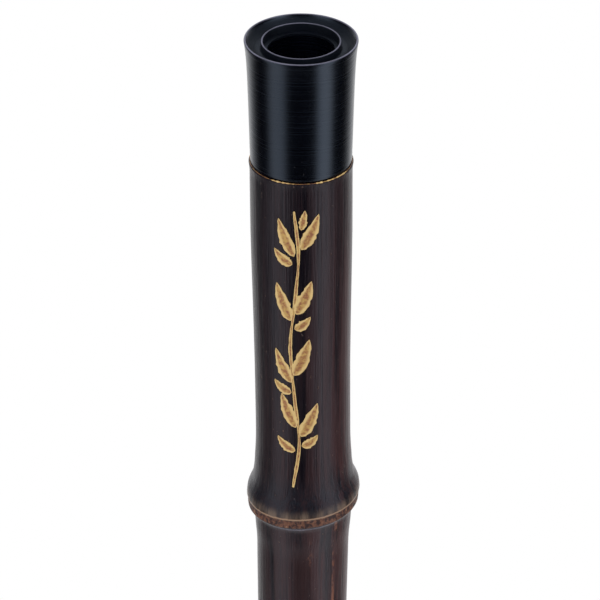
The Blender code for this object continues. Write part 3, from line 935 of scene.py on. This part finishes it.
ring_radius = head_skin[-1][1] - EDGE_CHAMFER * GLUE_INSET
glue_height = head_high.z - GLUE_DOWN
points = bend_points((ring_radius, glue_height), GLUE_RADIUS, 0, 315, 7)
glue_line = turned("cap_glue_line", points, GLUE_STEPS)
glue_rim = glue_line.data.attributes.new("rim", "FLOAT", "POINT")
for vertex in glue_line.data.vertices:
    angle = math.atan2(vertex.co.y, vertex.co.x)
    pace, level = GLUE_LUMPS
    lump = noise.noise((math.cos(angle) * pace, math.sin(angle) * pace, level))
    pace, level = GLUE_BEADS
    lump += BEAD_WEIGHT * noise.noise((math.cos(angle) * pace, math.sin(angle) * pace, level))
    turn = math.degrees(math.atan2(vertex.co.x, -vertex.co.y))
    full = any(start < turn < end for start, end in GLUE_SPOTS)
    size = (1.0 if full else GLUE_THIN) * max(GLUE_LEAST, 1.0 + GLUE_SWELL * lump)
    glue_rim.data[vertex.index].value = max(0.0, GLUE_RIM + lump) if full else 0.0
    middle = Vector((math.cos(angle), math.sin(angle), 0.0)) * ring_radius
    middle.z = glue_height
    vertex.co = middle + (vertex.co - middle) * size
tidy_mesh(glue_line)

# Gold size, used for this line and for the carving. Its "rim" attribute says
# where it stands thick and bright.
GOLD_PALE = (0.58, 0.37, 0.12, 1.0)
GOLD_DEEP = (0.42, 0.21, 0.075, 1.0)
GOLD_RED = (0.30, 0.12, 0.060, 1.0)
RIM_GOLD = (0.78, 0.56, 0.24, 1.0)
RIM_SHARE = 0.9
GOLD_MOTTLE = (2000.0, 4.0)
GOLD_WORN = (950.0, 4.0)
RED_MOTTLE = (0.40, 0.60)
PALE_WORN = (0.44, 0.62, 0.0, 0.85)
GOLD_ROUGH = 0.35
WORN_ROUGH = 0.3
GOLD_RELIEF = (0.00008, 0.6)

gold, tree = new_material("gold_size")
place = object_place(tree)
mottle = even_noise(tree, place, *GOLD_MOTTLE)
worn = even_noise(tree, place, *GOLD_WORN)
rim = node(tree, "ShaderNodeAttribute", attribute_name="rim").outputs["Fac"]
colour = mixed(tree, span(tree, mottle, *RED_MOTTLE), GOLD_DEEP, GOLD_RED)
colour = mixed(tree, span(tree, worn, *PALE_WORN), colour, GOLD_PALE)
colour = mixed(tree, maths(tree, "MULTIPLY", rim, RIM_SHARE), colour, RIM_GOLD)
surface(
    tree,
    {
        "Base Color": colour,
        "Roughness": scaled(tree, worn, WORN_ROUGH, GOLD_ROUGH),
        "Metallic": 0.15,
        "Normal": relief(tree, mottle, *GOLD_RELIEF),
    },
)
dress(glue_line, gold)
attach(glue_line, "head_section")

# The gilded carving on the head section: a plain sprig of bamboo, its stem
# and separate leaves cut into the skin and filled with gold size.
SPRIG_BEARING = -9.0
INLAY_COLUMNS = 6
INLAY_RISE = 0.14 * MM
INLAY_BED = 0.25 * MM

# The stem's bends in millimetres, down from the head rim and across. Its width
# in millimetres swells and thins again in a wave of so many steps.
STEM = ((116.5, -0.6), (104.0, 0.9), (90.0, -0.2), (76.0, -1.0), (62.0, 0.4), (50.0, 1.2), (38.6, 0.2))
STEM_STEPS = 60
STEM_WIDTH = 0.85
STEM_THIN = 0.55
STEM_SWELL = 0.45
STEM_WAVE = 24

# Each leaf in millimetres: its root, down and across, its lean in degrees, its
# length and its width.
LEAVES = (
    (49.5, 1.3, 48, 12.5, 3.1),
    (51.5, 0.6, -42, 12.5, 3.0),
    (53.0, 0.4, -84, 9.0, 2.6),
    (44.5, 1.6, 22, 6.5, 1.8),
    (67.5, 0.0, 44, 12.0, 3.3),
    (69.5, -0.4, -38, 12.5, 3.2),
    (71.0, -0.6, 82, 8.0, 2.4),
    (85.0, -0.6, 40, 13.0, 3.4),
    (87.0, -0.4, -46, 12.0, 3.0),
    (89.0, -0.2, -92, 8.5, 2.5),
    (100.0, 0.5, -40, 12.0, 3.1),
    (102.5, 0.8, 46, 12.5, 3.4),
    (104.5, 0.8, 88, 8.0, 2.4),
    (106.0, 0.6, -86, 9.0, 2.5),
)
LEAF_STEPS = 14
LEAF_CURL = 0.22
LEAF_SPREAD = 0.62
LEAF_BELLY = 0.75
LEAF_FULLNESS = 0.8

# How far off the stem a leaf starts and how wide its point is, in millimetres.
LEAF_START = 1.1
LEAF_POINT = 0.08

# How ragged the knife left the edges, and the shares of the width from which
# the gold is bright and from which it drops to its edge.
RAGGED = 0.34
RAGGED_PACE = 2.6
RAGGED_ACROSS = 2.0
BRIGHT_FROM = 0.6
EDGE_FROM = 0.9
EDGE_RISE = 0.8
HOLLOW_RISE = 0.35
BANK_RISE = 0.65


def on_cane(across, down, lift):
    """A place on the head section's skin, in millimetres across and down."""
    height = HEAD_RIM - down * MM
    radius = along(head_skin, height)
    turn = across * MM / radius + math.radians(SPRIG_BEARING)
    out = radius + lift
    return Vector((out * math.sin(turn) + sway_at(height), -out * math.cos(turn), height))


def thicken(sheet, thickness, offset):
    """Turns a sheet's faces away from the bore, thickens it and smooths it."""
    select_only(sheet)
    face = sheet.data.polygons[len(sheet.data.polygons) // 2]
    outward = face.center.copy()
    outward.z = 0.0
    if face.normal.dot(outward) < 0:
        sheet.data.flip_normals()
    thick = sheet.modifiers.new("thickness", "SOLIDIFY")
    thick.thickness = thickness
    thick.offset = offset
    bpy.ops.object.modifier_apply(modifier=thick.name)
    bpy.ops.object.shade_smooth_by_angle(angle=SMOOTH_ANGLE)


def inlay(name, spine, widths):
    """A ribbon of gold along a spine of (across, down) points, bedded in the skin."""
    last = len(spine) - 1
    bpy.ops.object.select_all(action="DESELECT")
    bpy.ops.mesh.primitive_grid_add(x_subdivisions=INLAY_COLUMNS, y_subdivisions=last, size=MM)
    obj = bpy.context.object
    obj.name = name
    obj.data.name = name
    rim = obj.data.attributes.new("rim", "FLOAT", "POINT")
    for index, vertex in enumerate(obj.data.vertices):
        share = vertex.co.x / MM * 2
        row = round((vertex.co.y / MM + 0.5) * last)
        here = Vector(spine[row])
        ahead = Vector(spine[min(row + 1, last)]) - Vector(spine[max(row - 1, 0)])
        side = Vector((-ahead.y, ahead.x)).normalized()
        spot = (here.x * RAGGED_PACE, here.y * RAGGED_PACE, share * RAGGED_ACROSS)
        ragged = 1.0 + RAGGED * noise.noise(spot)
        point = here + side * share * widths[row] * 0.5 * ragged
        edge = abs(share)
        rise = HOLLOW_RISE + BANK_RISE * edge if edge < EDGE_FROM else EDGE_RISE
        vertex.co = on_cane(point.x, point.y, INLAY_RISE * rise)
        rim.data[index].value = 1.0 if edge > BRIGHT_FROM or row in (0, last) else 0.0
    select_only(obj)
    bpy.ops.object.mode_set(mode="EDIT")
    bpy.ops.mesh.select_all(action="SELECT")
    bpy.ops.mesh.remove_doubles(threshold=WELD)
    bpy.ops.object.mode_set(mode="OBJECT")
    thicken(obj, INLAY_BED, -1.0)
    return obj


def leaf(number, down, across, lean, length, width):
    """One lance-shaped leaf that starts a little off the stem."""
    spine = []
    widths = []
    angle = math.radians(lean)
    for i in range(LEAF_STEPS + 1):
        share = i / LEAF_STEPS
        bent = angle * (1 - LEAF_CURL * share)
        reach = LEAF_START + (length - LEAF_START) * share
        spine.append((across + reach * math.sin(bent) * LEAF_SPREAD, down - reach * math.cos(bent)))
        belly = math.sin(math.pi * share**LEAF_BELLY) ** LEAF_FULLNESS
        widths.append(width * belly + LEAF_POINT)
    return inlay(f"leaf_{number}", spine, widths)


leaves = [leaf(i + 1, *sizes) for i, sizes in enumerate(LEAVES)]
stem_points = sorted((-down, across) for down, across in STEM)
spine = []
widths = []
for i in range(STEM_STEPS + 1):
    down = STEM[0][0] + (STEM[-1][0] - STEM[0][0]) * i / STEM_STEPS
    spine.append((along(stem_points, -down), down))
    widths.append(STEM_WIDTH * (STEM_THIN + STEM_SWELL * abs(math.sin(i * math.tau / STEM_WAVE))))
stem = inlay("stem", spine, widths)
for piece in leaves + [stem]:
    dress(piece, gold)
    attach(piece, "head_section")

# The brass tuning joint: a socket glued into the head section, a tenon that
# slides in it from the foot section, and a ferrule round each bamboo end.
RING_OUT = head_ring_high.x
LIP_THICK = 0.8 * MM
LIP_CORNER = 0.3 * MM
FAR_CORNER = 0.25 * MM
GROOVES = (1.5 * MM, 2.3 * MM)
GROOVE_R = 0.16 * MM
GROOVE_OUT = 0.03 * MM
BRASS_COLOUR = (0.78, 0.57, 0.24, 1.0)
BRASS_DARK = (0.42, 0.26, 0.10, 1.0)
BRASS_LINES = {"Per Metre": 9000.0, "Detail": 2.0}
TARNISH = (210.0, 6.0)
DARK_TARNISH = (0.45, 0.72, 0.0, 0.75)
BRASS_ROUGH = 0.14
TARNISH_ROUGH = 0.30
BRASS_RELIEF = (0.00002, 0.35)


def ferrule(name, low, high, lip_radius, lip_up):
    """A short sleeve with three turned grooves and a lip over the cane's end."""
    inner = RING_SEAT_R + SEAT_GAP
    length = high - low
    points = bend_points((RING_OUT - LIP_CORNER, -LIP_CORNER), LIP_CORNER, 90, 0)
    for groove in (*GROOVES, length - GROOVES[0]):
        points += bend_points((RING_OUT + GROOVE_OUT, -groove), GROOVE_R, 100, 260, 6)
    points += bend_points((RING_OUT - FAR_CORNER, -length + FAR_CORNER), FAR_CORNER, 0, -90)
    points += [(inner, -length), (inner, -LIP_THICK), (lip_radius, -LIP_THICK), (lip_radius, 0.0)]
    if lip_up:
        return turned(name, [(r, high + h) for r, h in points])
    return turned(name, [(r, low - h) for r, h in reversed(points)])


head_ferrule = ferrule("head_ferrule", head_ring_low.z, head_ring_high.z, SOCKET_R + SEAT_GAP, False)
foot_ferrule = ferrule("foot_ferrule", foot_ring_low.z, foot_ring_high.z, TENON_R + SEAT_GAP, True)

brass, tree = new_material("turned_brass")
lines = use(tree, turning_lines, BRASS_LINES)["Lines"]
tarnish = even_noise(tree, object_place(tree), *TARNISH)
surface(
    tree,
    {
        "Base Color": mixed(tree, span(tree, tarnish, *DARK_TARNISH), BRASS_COLOUR, BRASS_DARK),
        "Roughness": scaled(tree, tarnish, TARNISH_ROUGH, BRASS_ROUGH),
        "Metallic": 1.0,
        "Normal": relief(tree, lines, *BRASS_RELIEF),
    },
)
for piece, body, cad in (
    (head_ferrule, "head_section", "socket_ring"),
    (foot_ferrule, "foot_section", "tenon_ring"),
):
    dress(piece, brass)
    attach(piece, body)
    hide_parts(cad)
dress(nodes["joint_socket"], brass)
dress(nodes["joint_tenon"], brass)

# The stopper: a cork pushed into the bore above the blow hole. Its ends are
# chamfered, and its skin is pitted with the dark pores that cork has.
CORK_DEEP = (0.36, 0.21, 0.10, 1.0)
CORK_PALE = (0.52, 0.34, 0.19, 1.0)
CORK_PORE = (0.10, 0.045, 0.020, 1.0)
CORK_CELLS = 900.0
CORK_PORES = (330.0, 4.0)
PORE_TINT = (0.60, 0.68)
PORE_PIT = (0.58, 0.68)
CORK_ROUGH = 0.7
PORE_ROUGH = 0.2
CORK_RELIEF = (0.0002, 0.6)

cork, tree = new_material("natural_cork")
place = object_place(tree)
inputs = {"Vector": place, "Scale": CORK_CELLS}
cells = node(tree, "ShaderNodeTexVoronoi", inputs).outputs["Distance"]
pores = even_noise(tree, place, *CORK_PORES)
colour = mixed(tree, cells, CORK_DEEP, CORK_PALE)
colour = mixed(tree, span(tree, pores, *PORE_TINT), colour, CORK_PORE)
height = maths(tree, "SUBTRACT", cells, span(tree, pores, *PORE_PIT))
surface(
    tree,
    {
        "Base Color": colour,
        "Roughness": scaled(tree, pores, PORE_ROUGH, CORK_ROUGH),
        "Normal": relief(tree, height, *CORK_RELIEF),
    },
)
dress(nodes["head_cork"], cork)

# The membrane: a film from inside a reed, pasted over its hole. It is dry and
# thin, with fine wrinkles across it that make the tone buzz.
FILM_ROWS = 84
FILM_COLUMNS = 60
FILM_THICKNESS = 0.08 * MM
FILM_LIFT = 0.26 * MM
FILM_SAG = 0.10 * MM
FILM_TURN = math.radians(36.0)
FILM_UNEVEN = 0.02

# The film's half width and height and the part that hangs free, in millimetres.
FILM_HALF_WIDE = 7.2
FILM_HALF_TALL = 8.0
FREE_R = 5.2
FREE_GAIN = 3

# The wrinkles: their height, how close they lie, how they waver and vary, and
# how much of them is left where the film is pasted down and where it hangs.
WRINKLE = 0.09 * MM
WRINKLE_PACE = 4.1
WRINKLE_WAVER = 3.2
WRINKLE_BASE = 0.6
WRINKLE_VARY = 0.8
PASTED = 0.25
HANGING = 0.75

FILM_COLOUR = (0.66, 0.57, 0.41, 1.0)
FILM_SHADE = (0.50, 0.41, 0.27, 1.0)
FILM_STAIN = (0.36, 0.26, 0.15, 1.0)
FILM_VEINS = (1500.0, 90.0)
FILM_PATCHES = (260.0, 3.0)
PALE_VEINS = (0.35, 0.68)
STAIN_PATCHES = (0.50, 0.72, 0.0, 0.5)
VEIN_COVER = (0.30, 0.70, 0.72, 0.96)
FILM_ROUGH = 0.35
PATCH_ROUGH = 0.25
FILM_RELIEF = (0.00004, 0.4)

film_low, film_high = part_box("membrane")
film_middle = (film_low.z + film_high.z) / 2
film_half_height = (film_high.z - film_low.z) / 2
bpy.ops.object.select_all(action="DESELECT")
bpy.ops.mesh.primitive_grid_add(x_subdivisions=FILM_COLUMNS, y_subdivisions=FILM_ROWS, size=2.0)
film = bpy.context.object
film.name = "reed_film_sheet"
film.data.name = film.name

# The last number of each noise below only keeps one noise apart from another.
for vertex in film.data.vertices:
    across, up = vertex.co.x, vertex.co.y
    trim = 1 - FILM_UNEVEN * noise.noise((across * 3, up * 3, 5.0))
    height = film_middle + up * film_half_height * trim
    free = 1.0 - math.hypot(across * FILM_HALF_WIDE, up * FILM_HALF_TALL) / FREE_R
    free = min(1.0, max(0.0, free) * FREE_GAIN)
    waver = WRINKLE_WAVER * noise.noise((across * 1.6, up * 2.6, 1.0))
    crease = math.sin(height / MM * WRINKLE_PACE + waver)
    crease *= WRINKLE_BASE + WRINKLE_VARY * noise.noise((across * 2.0, up * 5.0, 4.0))
    radius = along(head_skin, height) + FILM_LIFT
    radius += WRINKLE * crease * (PASTED + HANGING * free) - FILM_SAG * free
    turn = across * FILM_TURN * (1 - FILM_UNEVEN * noise.noise((up * 4, 0.0, 9.0)))
    vertex.co = (radius * math.sin(turn), -radius * math.cos(turn), height)
thicken(film, FILM_THICKNESS, 1.0)

reed, tree = new_material("dry_reed_film")
place = object_place(tree)
veins = stretched_noise(tree, place, *FILM_VEINS)
patches = even_noise(tree, place, *FILM_PATCHES)
colour = mixed(tree, span(tree, veins, *PALE_VEINS), FILM_SHADE, FILM_COLOUR)
colour = mixed(tree, span(tree, patches, *STAIN_PATCHES), colour, FILM_STAIN)
surface(
    tree,
    {
        "Base Color": colour,
        "Roughness": scaled(tree, patches, PATCH_ROUGH, FILM_ROUGH),
        "Alpha": span(tree, veins, *VEIN_COVER),
        "Normal": relief(tree, veins, *FILM_RELIEF),
    },
)
dress(film, reed)
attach(film, "head_section")
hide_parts("membrane")
